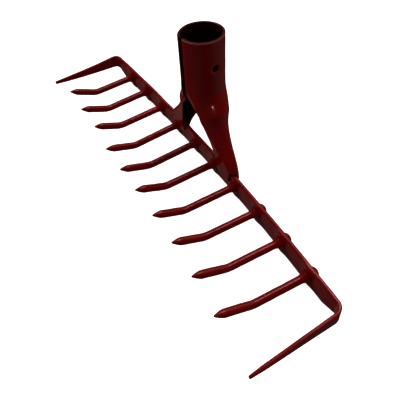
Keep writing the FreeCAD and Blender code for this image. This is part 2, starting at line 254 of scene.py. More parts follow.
# ---- bar ------------------------------------------------------------------------------------
def bar_path():
    """Stations along the right half of the bar and its end tine: (x, y, direction), middle line."""
    radius = BEND_RADIUS - BAR_THICK / 2
    start_turn = -math.asin(BAR_HALF_LENGTH / BAR_RADIUS)
    end_turn = END_TINE_SPLAY - math.pi / 2
    bend_x = BAR_HALF_LENGTH - BAR_THICK / 2 - radius * (math.sin(start_turn) - math.sin(end_turn))
    stations = []
    for x in np.linspace(0, bend_x, 190)[:-1]:
        turn = -math.asin(x / BAR_RADIUS)
        stations.append((x, front_face(x) + BAR_THICK / 2, turn))
    y = front_face(bend_x) + BAR_THICK / 2
    start_turn = -math.asin(bend_x / BAR_RADIUS)
    for turn in np.linspace(start_turn, end_turn, 28):
        across = radius * (math.sin(start_turn) - math.sin(turn))
        along = radius * (math.cos(turn) - math.cos(start_turn))
        stations.append((bend_x + across, y + along, turn))
    x, y, turn = stations[-1]
    run = (END_TINE_REACH + y) / -math.sin(end_turn)
    for step in np.linspace(0, 1, 60)[1:]:
        reach = run * step
        stations.append((x + reach * math.cos(end_turn), y + reach * math.sin(end_turn), end_turn))
    return stations


def bar_heights(x, y):
    """Lower and upper edge of the bar or end tine at a place on its middle line."""
    inner = BAR_HALF_LENGTH - BAR_THICK
    root = front_face(BAR_HALF_LENGTH)
    out = min(max((root - y) / (END_TINE_REACH + root), 0.0), 1.0)
    rise = min(max((x - TAPER_START) / (inner - TAPER_START), 0.0), 1.0)
    tip_low = END_TINE_TIP_LEVEL - END_TINE_TIP_HALF
    tip_top = END_TINE_TIP_LEVEL + END_TINE_TIP_HALF
    low = -BAR_HALF + (END_TINE_ROOT_LOW + BAR_HALF) * rise
    low += (tip_low - END_TINE_ROOT_LOW) * out
    return low, BAR_HALF + (tip_top - BAR_HALF) * out


def bar_section(half_thick, low, high):
    """A rounded upright rectangle as (towards the front, height) points, anticlockwise."""
    edge = min(EDGE_ROUND, 0.8 * half_thick, 0.4 * (high - low))
    corners = [
        (half_thick - edge, high - edge, 0),
        (-half_thick + edge, high - edge, 90),
        (-half_thick + edge, low + edge, 180),
        (half_thick - edge, low + edge, 270),
    ]
    points = []
    for number, (across, height, start) in enumerate(corners):
        for step in range(6):
            angle = math.radians(start + 18 * step)
            points.append((across + edge * math.cos(angle), height + edge * math.sin(angle)))
        after = corners[(number + 1) % 4]
        next_angle = math.radians(after[2])
        goal = (after[0] + edge * math.cos(next_angle), after[1] + edge * math.sin(next_angle))
        pieces = 14 if number % 2 else 3
        last = points[-1]
        for step in range(1, pieces):
            share = step / pieces
            points.append((last[0] + (goal[0] - last[0]) * share, last[1] + (goal[1] - last[1]) * share))
    return points


def swelling(x, height):
    """How far the bar's front stands forward near the rivets."""
    value = 0.0
    for tine_x in tine_positions():
        near = math.exp(-((x - tine_x) / SWELLING_WIDTH) ** 2)
        at_middle = math.exp(-(height / SWELLING_HEIGHT) ** 2)
        value += SWELLING * near * (SWELLING_AT_EDGE + (1 - SWELLING_AT_EDGE) * at_middle)
    return value


def bar_points():
    """Rings of points from the left point, along the bar, to the right point."""
    right = bar_path()
    path = [(-x, y, -turn) for x, y, turn in reversed(right[1:])] + right
    rings = []
    for x, y, turn in path:
        low, high = bar_heights(abs(x), y)
        to_tip = END_TINE_REACH + y
        thin = min(to_tip / END_TINE_THINNING, 1.0)
        thick = END_TINE_TIP_THICK + (BAR_THICK - END_TINE_TIP_THICK) * thin
        front = (math.sin(turn), -math.cos(turn))
        ring = []
        for across, height in bar_section(thick / 2, low, high):
            if across > 0 and abs(x) < TAPER_START:
                across += swelling(x, height)
            ring.append((x + front[0] * across, y + front[1] * across, height))
        rings.append(ring)
    rings = np.array(rings)
    forward = (front_face(BAR_HALF_LENGTH) - rings[..., 1]) / END_TINE_REACH
    out = np.clip(forward, 0, 1) * (rings[..., 0] < 0)
    rings[..., 1] -= LEFT_TINE_EXTRA * out
    rings[..., 2] += LEFT_TINE_LIFT * out ** 2
    for end, inside in ((0, 1), (-1, -2)):
        middle = rings[end].mean(0)
        onward = middle - rings[inside].mean(0)
        onward /= np.linalg.norm(onward)
        caps = [middle + (rings[end] - middle) * size + onward * step
                for size, step in ((0.86, 0.3), (0.6, 0.5), (0.25, 0.6))]
        rings = np.concatenate([caps[::-1], rings] if end == 0 else [rings, caps])
    return rings


def make_bar(materials):
    """The flat bar on edge with its two end tines."""
    rings = bar_points()
    rows, columns = rings.shape[:2]
    points = rings.reshape(-1, 3)
    points[:, 1] += wander(points, 22, 0.25, 1) + wander(points, 7, 0.06, 2)
    points[:, 2] += wander(points, 16, 0.22, 3)
    faces = ring_faces(rows, columns)
    return new_piece("bar_and_end_tines", points, faces, "head_bar", materials)


# ---- round tines ----------------------------------------------------------------------------
def tine_profile(length, head_height):
    """(distance, radius) pairs from the top of the rivet head, through the bar, to the point."""
    pairs = []
    ball = (HEAD_RADIUS ** 2 + head_height ** 2) / (2 * head_height)
    top = -BAR_THICK - head_height
    for share in np.linspace(0.01, 0.97, 12):
        depth = head_height * share ** 1.6
        pairs.append((top + depth, math.sqrt(ball ** 2 - (ball - depth) ** 2)))
    pairs += [(-BAR_THICK - 0.02, HEAD_RADIUS + 0.1), (-BAR_THICK + 0.05, HEAD_RADIUS + 0.25)]
    pairs += [(-BAR_THICK + 0.1, SHANK_RADIUS), (-0.1, SHANK_RADIUS)]
    collar = [
        (-0.05, 4.5), (0.1, 4.15), (0.3, 3.9), (0.6, 3.72), (1.0, 3.62), (1.4, 3.54), (1.75, 3.42),
        (2.0, 3.24), (2.3, 3.04), (2.7, 2.87), (3.1, 2.75), (3.5, 2.65), (3.9, 2.58), (4.4, 2.5),
    ]
    pairs += [(SWELLING + distance, radius) for distance, radius in collar]
    shoulder = length - POINT_LENGTH
    kink = length - POINT_SPAN
    for distance in np.arange(SWELLING + 5.2, shoulder - 0.6, 0.7):
        forged = min(max((distance - kink + 4) / 9, 0.0), 1.0)
        pairs.append((distance, WIRE_RADIUS + (FORGED_RADIUS - WIRE_RADIUS) * forged))
    cone = FORGED_RADIUS - POINT_RADIUS
    for share in np.linspace(0, 1, 18):
        rounding = 0.12 * math.sin(math.pi * share)
        distance = shoulder + (POINT_LENGTH - 0.5) * share
        pairs.append((distance, FORGED_RADIUS - cone * share ** 1.15 + rounding))
    pairs += [(length - 0.22, 0.42), (length - 0.05, 0.22), (length, 0.06)]
    return pairs


def tine_line(distance, kink_at, kink, lean_up):
    """Place (y, z) and upward angle of the wire's middle line at a distance from the bar."""
    if distance <= 0:
        return -distance, 0.0, 0.0
    tangent = KINK_RADIUS * math.tan(kink / 2)
    start = kink_at - tangent
    bend = KINK_RADIUS * kink
    along = min(distance, start)
    height = 0.0
    angle = 0.0
    if distance > start:
        angle = min((distance - start) / KINK_RADIUS, kink)
        along += KINK_RADIUS * math.sin(angle)
        height += KINK_RADIUS * (1 - math.cos(angle))
    if distance > start + bend:
        along += (distance - start - bend) * math.cos(kink)
        height += (distance - start - bend) * math.sin(kink)
    cosine, sine = math.cos(lean_up), math.sin(lean_up)
    return -(along * cosine - height * sine), along * sine + height * cosine, angle + lean_up


def make_tine(number, x, materials):
    """One round tine: rivet head, shank, collar, wire, kink and point in one piece."""
    lean_up, extra_kink, extra_length, off_level, extra_head = TINE_DIFFERENCES[number]
    lean_up = math.radians(lean_up)
    kink = math.radians(KINK_ANGLE + extra_kink)
    turn = math.asin(x / BAR_RADIUS)
    kink_at = (KINK_LINE + front_face(x)) / math.cos(turn)
    tangent = KINK_RADIUS * math.tan(kink / 2)
    length = kink_at - tangent + KINK_RADIUS * kink + POINT_SPAN + extra_length - tangent
    columns = 44
    rings = []
    for distance, radius in tine_profile(length, HEAD_HEIGHT + extra_head):
        y, z, angle = tine_line(distance, kink_at, kink, lean_up)
        for column in range(columns):
            around = 2 * math.pi * column / columns
            side = radius * math.cos(around)
            up = radius * math.sin(around)
            rings.append((side, y + up * math.sin(angle), z + up * math.cos(angle)))
    points = np.array(rings)
    rough = wander(points + x, 5, 0.10, number + 10) + wander(points + x, 1.8, 0.035, number + 30)
    centres = points.reshape(-1, columns, 3).mean(1).repeat(columns, 0)
    points = centres + (points - centres) * (1 + rough / WIRE_RADIUS)[:, None]
    cosine, sine = math.cos(-turn), math.sin(-turn)
    turned = points.copy()
    turned[:, 0] = points[:, 0] * cosine - points[:, 1] * sine + x
    turned[:, 1] = points[:, 0] * sine + points[:, 1] * cosine + front_face(x)
    turned[:, 2] += off_level
    node = TINE_NODES[number]
    rows = len(turned) // columns
    return new_piece("forged_" + node, turned, ring_faces(rows, columns), node, materials)


# ---- socket ---------------------------------------------------------------------------------
def smooth_curve(places, values, at):
    """A curve through (place, value) pairs without overshoot: cubic with averaged slopes."""
    places = np.asarray(places, float)
    values = np.asarray(values, float)
    rise = np.diff(values) / np.diff(places)
    slopes = np.zeros(len(values))
    slopes[0], slopes[-1] = rise[0], rise[-1]
    for i in range(1, len(values) - 1):
        if rise[i - 1] * rise[i] > 0:
            slopes[i] = 2 * rise[i - 1] * rise[i] / (rise[i - 1] + rise[i])
    i = int(np.clip(np.searchsorted(places, at) - 1, 0, len(places) - 2))
    width = places[i + 1] - places[i]
    t = (at - places[i]) / width
    start = (2 * t ** 3 - 3 * t ** 2 + 1) * values[i] + (t ** 3 - 2 * t ** 2 + t) * width * slopes[i]
    end = (3 * t ** 2 - 2 * t ** 3) * values[i + 1] + (t ** 3 - t ** 2) * width * slopes[i + 1]
    return start + end


def axis_at(level):
    """(y, z) of the socket's axis, so far along it."""
    return SOCKET_AXIS_BACK + level * math.sin(LEAN), level * math.cos(LEAN)


def leg_values(height):
    """Outermost, back, front and the free edges' stand-offs of a leg at a height."""
    top_y, top_z = axis_at(SHOULDER)
    tube = (top_z, SOCKET_RADIUS, top_y + SOCKET_RADIUS, top_y - SOCKET_RADIUS, 0.0)
    rows = list(reversed(LEG_SHAPE)) + [tube]
    places = [row[0] for row in rows]
    out, back, front, behind = [
        smooth_curve(places, [row[column] for row in rows], height) for column in (1, 2, 3, 4)
    ]
    share = (top_z - height) / (top_z - NOTCH_LEVEL)
    return out, back, front, LEG_EDGE_STAND_OFF * min(share, 1.0), behind, LEAN * max(1 - share, 0.0)


def fork_edge(height, half_width, ease):
    """Half width of the gap between the legs at a height."""
    span = min(max((height - FORK_FOOT) / (FORK_APEX - FORK_FOOT), 0.0), 1.0)
    return half_width * (1 - span ** ease)


def half_outline(level, side):
    """Dense outline of one half at a level: from the front edge round the side to the back edge."""
    top_y, top_z = axis_at(SHOULDER)
    if level >= SHOULDER:
        middle, height = axis_at(level)
        out, back, front = SOCKET_RADIUS, middle + SOCKET_RADIUS, middle - SOCKET_RADIUS
        before = behind = 0.0
        lean = LEAN
    else:
        height = level - SHOULDER + top_z
        out, back, front, before, behind, lean = leg_values(height)
    radius = (back - front) / 2
    middle = (back + front) / 2
    wall = out - radius
    front_x = max(fork_edge(height, FORK_HALF_WIDTH, FORK_EASE_FRONT), SEAM_GAP / 2 + side * SEAM_OFFSET)
    back_x = fork_edge(height, FORK_HALF_WIDTH_BACK, FORK_EASE_BACK) if height < FORK_APEX else 0.0
    points = []
    for share in np.linspace(1, 0, 24)[:-1]:
        if wall > 0.01:
            points.append((wall * (1 - share), front - before * share ** 2))
    for angle in np.linspace(-math.pi / 2, math.pi / 2, 60):
        points.append((wall + radius * math.cos(angle), middle + radius * math.sin(angle)))
    for share in np.linspace(0, 1, 24)[1:]:
        if wall > 0.01:
            points.append((wall * (1 - share), back + behind * share ** 2))
    points = np.array(points)
    peak = int(points[:, 0].argmax())
    front_part, back_part = points[:peak + 1], points[peak:]
    front_y = np.interp(front_x, front_part[:, 0], front_part[:, 1])
    back_y = np.interp(back_x, back_part[::-1, 0], back_part[::-1, 1])
    front_part = front_part[front_part[:, 0] > front_x + 1e-6]
    back_part = back_part[back_part[:, 0] > back_x + 1e-6]
    points = np.concatenate([[(front_x, front_y)], front_part, back_part[1:], [(back_x, back_y)]])
    offset = points[:, 1] - middle
    return np.stack([
        points[:, 0],
        middle + offset * math.cos(lean),
        height - offset * math.sin(lean),
    ], 1)


def spread(outline, shares):
    """Points on an outline at shares of its length."""
    steps = np.linalg.norm(np.diff(outline, axis=0), axis=1)
    along = np.concatenate([[0], np.cumsum(steps)])
    return np.stack([np.interp(shares * along[-1], along, outline[:, axis]) for axis in range(3)], 1)


def foot_lower_edge(point):
    """How low the sheet of a foot reaches below a point at the notch's level."""
    x, y = point[0], point[1]
    if x < FOOT_CORNER_OUT:
        slope = (FOOT_LOW - FOOT_CORNER) / (FOOT_CORNER_OUT - FORK_HALF_WIDTH)
        return FOOT_CORNER + slope * max(x - FORK_HALF_WIDTH, 0.0)
    if y > BAR_THICK or x < FOOT_OUT:
        return FOOT_LOW
    shelf = FOOT_OUT + FOOT_OUT_SLOPE
    if x < shelf:
        return FOOT_LOW + (NOTCH_LEVEL - NOTCH_DROP - FOOT_LOW) * (x - FOOT_OUT) / FOOT_OUT_SLOPE
    return min(NOTCH_LEVEL, NOTCH_LEVEL - NOTCH_DROP + NOTCH_DROP * (x - shelf) / NOTCH_SLOPE)


SOCKET_COLUMNS = 96
FOOT_ROWS = 16


def socket_levels():
    """Levels of the rows of points, close together at the rim, the screw hole and the crease."""
    hole = SOCKET_TOP + SCREW["pos_m"][2] / MM
    level = SOCKET_TOP
    lowest = NOTCH_LEVEL + SHOULDER - axis_at(SHOULDER)[1]
    levels = [level]
    while level > lowest:
        fine = level > SOCKET_TOP - 2 or abs(level - hole) < 4.5 or abs(level - SHOULDER + 3) < 7
        level -= 0.45 if fine else 0.8
        levels.append(max(level, lowest))
    return levels


def crease_offset(level, angle):
    """In and out movement of the sheet below the tube; the angle is 0 at the side, minus at the front."""
    turned = max(abs(angle) - CREASE_STRAIGHT, 0) / (CREASE_END - CREASE_STRAIGHT)
    below = CREASE_LEVEL - CREASE_DROP * turned ** 1.3 - level
    move = sum(depth * math.exp(-((below - where) / width) ** 2) for where, depth, width in CREASE_WAVES)
    if angle > 0:
        return move * (1 - min(angle / CREASE_BACK_END, 1.0) ** 2)
    return move * (1 - CREASE_FADE_FRONT * min(turned, 1.0) ** 2)


def seam_offset(level, angle):
    """How far the far edge of the seam springs out from the round of the tube."""
    near_edge = math.exp(-((angle + math.radians(78)) / math.radians(26)) ** 2)
    fade = min(max((level - SHOULDER + 14) / 14, 0.0), 1.0)
    return SEAM_LIFT * near_edge * fade


def socket_grid(side):
    """Rows of points on the outside of one half, from the mouth down to the foot."""
    shares = np.linspace(0, 1, SOCKET_COLUMNS)
    rows = []
    for level in socket_levels():
        row = spread(half_outline(level, side), shares)
        middle_y = axis_at(level)[0]
        for point in row:
            angle = math.atan2(point[1] - middle_y, point[0])
            move = crease_offset(level, angle)
            if side < 0:
                move += seam_offset(level, angle)
            point[0] += move * math.cos(angle)
            point[1] += move * math.sin(angle)
        rows.append(row)
    lowest = [foot_lower_edge(point) for point in rows[-1]]
    shift = SHOULDER - axis_at(SHOULDER)[1]
    for step in np.linspace(0, 1, FOOT_ROWS + 1)[1:]:
        row = []
        for column, low in enumerate(lowest):
            height = NOTCH_LEVEL + (low - NOTCH_LEVEL) * step
            row.append(spread(half_outline(height + shift, side), shares[column:column + 1])[0])
        rows.append(np.array(row))
    return np.array(rows), np.array(lowest)


def open_hole(grid, centre, outward, radius, reach):
    """Moves the points nearest a round hole onto its edge and says which points lie inside it."""
    offset = grid - centre
    along = offset @ outward
    flat = offset - along[..., None] * outward
    distance = np.linalg.norm(flat, axis=-1)
    near = abs(along) < reach
    inside = near & (distance < radius - HOLE_EDGE_BAND)
    edge = near & ~inside & (distance < radius + HOLE_EDGE_BAND)
    grown = np.zeros_like(inside)
    for rows, columns in ((1, 0), (-1, 0), (0, 1), (0, -1), (1, 1), (1, -1), (-1, 1), (-1, -1)):
        grown |= np.roll(inside, (rows, columns), (0, 1))
    # roll wraps round the ends of the grid, so only points close to the hole are taken
    edge |= grown & ~inside & near & (distance < radius + HOLE_SNAP)
    scale = radius / np.maximum(distance, 1e-6)
    moved = centre + along[..., None] * outward + flat * scale[..., None]
    grid[edge] = moved[edge]
    return inside


def open_screw_hole(grid):
    """The screw hole in the side of the tube, its edge pressed in a little."""
    centre = np.array((Vector(SCREW["pos_m"]) - PLACE) / MM) - np.array([MOUTH.x, 0, 0])
    outward = np.array(SCREW["axis"])
    inside = open_hole(grid, centre, outward, HOLE_RADIUS, SCREW_HOLE_REACH)
    offset = grid - centre
    along = offset @ outward
    distance = np.linalg.norm(offset - along[..., None] * outward, axis=-1)
    near = (abs(along) < SCREW_HOLE_REACH) & (distance < HOLE_RADIUS + SCREW_HOLE_REACH)
    dish = SCREW_HOLE_DISH * np.exp(-((distance - HOLE_RADIUS) / SCREW_HOLE_DISH_WIDTH) ** 2) * near
    grid -= dish[..., None] * outward
    return inside


def open_head_reliefs(grid, side):
    """Cut-outs in a foot around the collars and heads of the round tines beside it."""
    inside = np.zeros(grid.shape[:2], bool)
    for x, (_, _, _, off_level, _) in zip(tine_positions(), TINE_DIFFERENCES):
        across = side * (x - MOUTH.x)
        if across > 0:
            centre = np.array([across, BAR_THICK / 2, off_level])
            radius = HEAD_RADIUS + HEAD_CLEARANCE
            inside |= open_hole(grid, centre, np.array([0, 1, 0]), radius, RELIEF_REACH)
    return inside


def make_socket(materials):
    """The pressed sheet: open-seamed tube, crease, and two legs that straddle the bar."""
    points, faces = [], []
    for side in (1, -1):
        grid, lowest = socket_grid(side)
        inside = open_head_reliefs(grid, side)
        if side > 0:
            inside |= open_screw_hole(grid)
        rows, columns = grid.shape[:2]
        start = len(points)
        points += [(side * p[0] + MOUTH.x, p[1], p[2]) for p in grid.reshape(-1, 3)]
        for row in range(rows - 1):
            for column in range(columns - 1):
                in_foot = row + 1 >= rows - FOOT_ROWS
                if in_foot and max(lowest[column:column + 2]) > NOTCH_LEVEL - 0.05:
                    continue
                if inside[row:row + 2, column:column + 2].any():
                    continue
                here = start + row * columns + column
                faces.append((here, here + 1, here + columns + 1, here + columns))
    points = np.array(points)
    points[:, 0] += wander(points, 19, 0.35, 4)
    points[:, 1] += wander(points, 17, 0.35, 5) + wander(points, 6, 0.08, 6)
    piece = new_piece("pressed_socket", points, faces, "handle_socket", materials)
    sheet = piece.modifiers.new("sheet", "SOLIDIFY")
    sheet.thickness = SHEET * MM
    sheet.offset = -1
    sheet.use_even_offset = True
    sheet.material_offset = 1
    sheet.material_offset_rim = 2
    edges = piece.modifiers.new("edges", "BEVEL")
    edges.width = 0.55 * MM
    edges.segments = 3
    edges.limit_method = "ANGLE"
    edges.angle_limit = math.radians(50)
    edges.harden_normals = True
    edges.material = 0
    return piece


# ---- welds ----------------------------------------------------------------------------------
def make_weld(node, materials):
    """A rippled upright bead behind the bar, beside the inner edge of a foot's back flap."""
    low, high = [(Vector(corner) - PLACE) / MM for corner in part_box(node)]
    side = 1 if low.x + high.x > 2 * MOUTH.x else -1
    radius = (high.z - low.z) / WELD_SLENDERNESS
    outer_low = FORK_HALF_WIDTH_BACK
    outer_top = fork_edge(high.z, FORK_HALF_WIDTH_BACK, FORK_EASE_BACK)
    columns = 24
    rows = 60
    rings = []
    for share in np.linspace(0, 1, rows):
        z = low.z + (high.z - low.z) * share
        round_end = math.sqrt(max(1 - (2 * share - 1) ** 4, 0.003))
        ripple = 1 + WELD_RIPPLE * math.sin(2 * math.pi * WELD_RIPPLES * share)
        x = MOUTH.x + side * (outer_low + (outer_top - outer_low) * share)
        for column in range(columns):
            around = 2 * math.pi * column / columns
            size = radius * round_end * ripple
            rings.append((x + size * math.cos(around), low.y + size * math.sin(around), z))
    points = np.array(rings)
    return new_piece("bead_" + node, points, ring_faces(rows, columns), node, materials)


# ---- materials ------------------------------------------------------------------------------
def node_link(tree, source, output, target, entry):
    """Joins two shader nodes."""
    tree.links.new(source.outputs[output], target.inputs[entry])


def paint(name, red, roughness, peel, ior=1.5):
    """Glossy enamel: uneven pigment, painted shade darkening the corners, thinner on edges, fine orange
    peel.
    """
    material = bpy.data.materials.new(name)
    material.use_nodes = True
    tree = material.node_tree
    tree.nodes.clear()
    add = tree.nodes.new
    output = add("ShaderNodeOutputMaterial")
    surface = add("ShaderNodeBsdfPrincipled")
    node_link(tree, surface, "BSDF", output, "Surface")
    place = add("ShaderNodeTexCoord")

    clouds = add("ShaderNodeTexNoise")
    clouds.inputs["Scale"].default_value = 55
    clouds.inputs["Detail"].default_value = 5
    clouds.inputs["Roughness"].default_value = 0.6
    node_link(tree, place, "Object", clouds, "Vector")
    pigment = add("ShaderNodeValToRGB")
    pigment.color_ramp.elements[0].position = 0.3
    pigment.color_ramp.elements[0].color = (red * 0.82, 0.0012, 0.0014, 1)
    pigment.color_ramp.elements[1].position = 0.72
    pigment.color_ramp.elements[1].color = (red * 1.1, 0.0026, 0.0024, 1)
    node_link(tree, clouds, "Fac", pigment, "Fac")

    # Painted shade: the pigment is darkened where ambient occlusion finds corners and recesses.
    corners = add("ShaderNodeAmbientOcclusion")
    corners.samples = 6
    corners.inputs["Distance"].default_value = 5 * MM
    shade = add("ShaderNodeMapRange")
    shade.inputs["From Min"].default_value = 0.25
    shade.inputs["From Max"].default_value = 0.85
    shade.inputs["To Min"].default_value = 0.35
    shade.inputs["To Max"].default_value = 1.0
    node_link(tree, corners, "AO", shade, "Value")
    corner_shaded_pigment = add("ShaderNodeMix")
    corner_shaded_pigment.data_type = "RGBA"
    corner_shaded_pigment.blend_type = "MULTIPLY"
    corner_shaded_pigment.inputs["Factor"].default_value = 1.0
    tree.links.new(pigment.outputs["Color"], corner_shaded_pigment.inputs[6])
    tree.links.new(shade.outputs["Result"], corner_shaded_pigment.inputs[7])

    form = add("ShaderNodeNewGeometry")
    edge = add("ShaderNodeMapRange")
    edge.inputs["From Min"].default_value = 0.54
    edge.inputs["From Max"].default_value = 0.64
    node_link(tree, form, "Pointiness", edge, "Value")
    worn = add("ShaderNodeMix")
    worn.data_type = "RGBA"
    worn.inputs[7].default_value = (red * 1.5, 0.012, 0.010, 1)
    tree.links.new(edge.outputs["Result"], worn.inputs["Factor"])
    tree.links.new(corner_shaded_pigment.outputs[2], worn.inputs[6])
    tree.links.new(worn.outputs[2], surface.inputs["Base Color"])

    sheen = add("ShaderNodeTexNoise")
    sheen.inputs["Scale"].default_value = 240
    sheen.inputs["Detail"].default_value = 4
    node_link(tree, place, "Object", sheen, "Vector")
    gloss = add("ShaderNodeMapRange")
    gloss.inputs["To Min"].default_value = roughness * 0.7
    gloss.inputs["To Max"].default_value = roughness * 1.5
    node_link(tree, sheen, "Fac", gloss, "Value")
    node_link(tree, gloss, "Result", surface, "Roughness")
    surface.inputs["IOR"].default_value = ior

    skin = add("ShaderNodeTexNoise")
    skin.inputs["Scale"].default_value = 900
    skin.inputs["Detail"].default_value = 2
    node_link(tree, place, "Object", skin, "Vector")
    waves = add("ShaderNodeTexNoise")
    waves.inputs["Scale"].default_value = 160
    waves.inputs["Detail"].default_value = 1
    node_link(tree, place, "Object", waves, "Vector")
    fine = add("ShaderNodeBump")
    fine.inputs["Strength"].default_value = peel
    fine.inputs["Distance"].default_value = 0.05 * MM
    node_link(tree, skin, "Fac", fine, "Height")
    broad = add("ShaderNodeBump")
    broad.inputs["Strength"].default_value = peel
    broad.inputs["Distance"].default_value = 0.35 * MM
    node_link(tree, waves, "Fac", broad, "Height")
    node_link(tree, fine, "Normal", broad, "Normal")
    node_link(tree, broad, "Normal", surface, "Normal")
    return material


def paint_mouth_highlight(material):
    """A painted highlight: a fine light line in the base colour round the outer edge of the mouth."""
    tree = material.node_tree
    surface = next(node for node in tree.nodes if node.type == "BSDF_PRINCIPLED")
    painted = surface.inputs["Base Color"].links[0].from_socket
    place = tree.nodes.new("ShaderNodeTexCoord")
    along = tree.nodes.new("ShaderNodeVectorMath")
    along.operation = "DOT_PRODUCT"
    along.inputs[1].default_value = BORE["axis"]
    node_link(tree, place, "Object", along, 0)
    from_mouth = tree.nodes.new("ShaderNodeMapRange")
    from_mouth.inputs["From Min"].default_value = -MOUTH_HIGHLIGHT_WIDTH * MM
    from_mouth.inputs["From Max"].default_value = -0.4 * MOUTH_HIGHLIGHT_WIDTH * MM
    node_link(tree, along, "Value", from_mouth, "Value")
    lengthwise = tree.nodes.new("ShaderNodeVectorMath")
    lengthwise.operation = "SCALE"
    lengthwise.inputs[0].default_value = BORE["axis"]
    tree.links.new(along.outputs["Value"], lengthwise.inputs["Scale"])
    across = tree.nodes.new("ShaderNodeVectorMath")
    across.operation = "SUBTRACT"
    node_link(tree, place, "Object", across, 0)
    node_link(tree, lengthwise, "Vector", across, 1)
    outwards = tree.nodes.new("ShaderNodeVectorMath")
    outwards.operation = "NORMALIZE"
    node_link(tree, across, "Vector", outwards, 0)
    form = tree.nodes.new("ShaderNodeNewGeometry")
    facing = tree.nodes.new("ShaderNodeVectorMath")
    facing.operation = "DOT_PRODUCT"
    node_link(tree, outwards, "Vector", facing, 0)
    node_link(tree, form, "Normal", facing, 1)
    outer = tree.nodes.new("ShaderNodeMapRange")
    outer.inputs["From Min"].default_value = 0.05
    outer.inputs["From Max"].default_value = 0.25
    node_link(tree, facing, "Value", outer, "Value")
    both = tree.nodes.new("ShaderNodeMath")
    both.operation = "MULTIPLY"
    node_link(tree, from_mouth, "Result", both, 0)
    node_link(tree, outer, "Result", both, 1)
    # Painted highlight: a light colour is mixed into the base colour on the mouth's outer edge.
    painted_highlight = tree.nodes.new("ShaderNodeMix")
    painted_highlight.data_type = "RGBA"
    painted_highlight.inputs[7].default_value = MOUTH_HIGHLIGHT_COLOUR
    tree.links.new(both.outputs["Value"], painted_highlight.inputs["Factor"])
    tree.links.new(painted, painted_highlight.inputs[6])
    tree.links.new(painted_highlight.outputs[2], surface.inputs["Base Color"])


def shaded_inside_paint():
    """The inside of the socket and legs: painted shade, a mottled near-black red, dull and lightly
    bumped.
    """
    material = bpy.data.materials.new("dark_inside")
    material.use_nodes = True
    tree = material.node_tree
    surface = tree.nodes["Principled BSDF"]
    place = tree.nodes.new("ShaderNodeTexCoord")
    scale = tree.nodes.new("ShaderNodeTexNoise")
    scale.inputs["Scale"].default_value = 300
    scale.inputs["Detail"].default_value = 6
    node_link(tree, place, "Object", scale, "Vector")
    # Painted shade: near-black reds stand in for the shade inside the tube and legs.
    tone = tree.nodes.new("ShaderNodeValToRGB")
    tone.color_ramp.elements[0].color = (0.02, 0.002, 0.002, 1)
    tone.color_ramp.elements[1].color = (0.07, 0.005, 0.005, 1)
    node_link(tree, scale, "Fac", tone, "Fac")
    node_link(tree, tone, "Color", surface, "Base Color")
    gloss = tree.nodes.new("ShaderNodeMapRange")
    gloss.inputs["To Min"].default_value = 0.5
    gloss.inputs["To Max"].default_value = 0.8
    node_link(tree, scale, "Fac", gloss, "Value")
    node_link(tree, gloss, "Result", surface, "Roughness")
    surface.inputs["Specular IOR Level"].default_value = 0.2
    bump = tree.nodes.new("ShaderNodeBump")
    bump.inputs["Strength"].default_value = 0.3
    bump.inputs["Distance"].default_value = 0.1 * MM
    node_link(tree, scale, "Fac", bump, "Height")
    node_link(tree, bump, "Normal", surface, "Normal")
    return material


ROOM_LIGHT = 0.055
WARMTH = (1.0, 0.86, 0.81)
# soft patches of light around the object: azimuth and elevation of the middle, half angle of
# the even core and of the faded rim, strength
STUDIO_LAMPS = [
    (-155, 50, 10, 45, 0.75),
    (-100, 50, 5, 45, 0.25),
    (-98, -46, 10, 42, 0.13),
    (150, -20, 10, 50, 0.12),
    (20, -30, 10, 40, 0.05),
]
SOFT_LAMPS = [
    # name, azimuth, elevation, distance in object sizes, side, power, mirrored in the paint
    ("ceiling_lamp", 178, 66, 1.5, 0.18, 0.42, True),
    ("front_fill_lamp", -40, 25, 2.4, 0.25, 1.4, False),
    ("right_fill_lamp", 60, 20, 2.4, 0.6, 0.5, False),
]
KEY_LAMP_FROM = (88, 44)   # azimuth and elevation
KEY_LAMP_DISTANCE = 0.6    # metres from the knee
KEY_LAMP_RADIUS = 0.02
KEY_LAMP_CONE = math.radians(3.6)
KEY_LAMP_BLEND = 0.8
KEY_LAMP_POWER = 2.0

CAMERA_LENS = 40.48        # millimetres
CAMERA_LOOKS_FROM = (66.0, 49.09)   # azimuth and elevation of the line of sight
CAMERA_STANDS_AT = (68.54, 38.49)   # azimuth and elevation of its place, from the middle
CAMERA_DISTANCE = 0.8955   # in object sizes
CAMERA_ROLL = math.radians(-8.02)


# ---- stage ----------------------------------------------------------------------------------
def direction(azimuth, elevation):
    """From the object towards the viewer; azimuth 0 is the -Y side and 90 the +X side."""
    a, e = math.radians(azimuth), math.radians(elevation)
    return Vector((math.sin(a) * math.cos(e), -math.cos(a) * math.cos(e), math.sin(e)))


def make_camera():
    """Looks from the right and above, a little rolled."""
    low, high = cad_box
    middle, size = (low + high) / 2, (high - low).length
    camera = bpy.data.objects.new("camera", bpy.data.cameras.new("camera"))
    bpy.context.scene.collection.objects.link(camera)
    camera.data.lens = CAMERA_LENS
    camera.data.clip_start = 0.01
    camera.data.clip_end = 20
    back = direction(*CAMERA_LOOKS_FROM)
    level_right = Vector((0, 0, 1)).cross(back).normalized()
    level_up = back.cross(level_right)
    right = level_right * math.cos(CAMERA_ROLL) + level_up * math.sin(CAMERA_ROLL)
    up = back.cross(right)
    turn = Matrix((right, up, back)).transposed()
    where = middle + direction(*CAMERA_STANDS_AT) * size * CAMERA_DISTANCE
    camera.matrix_world = Matrix.Translation(where) @ turn.to_4x4()
    bpy.context.scene.camera = camera


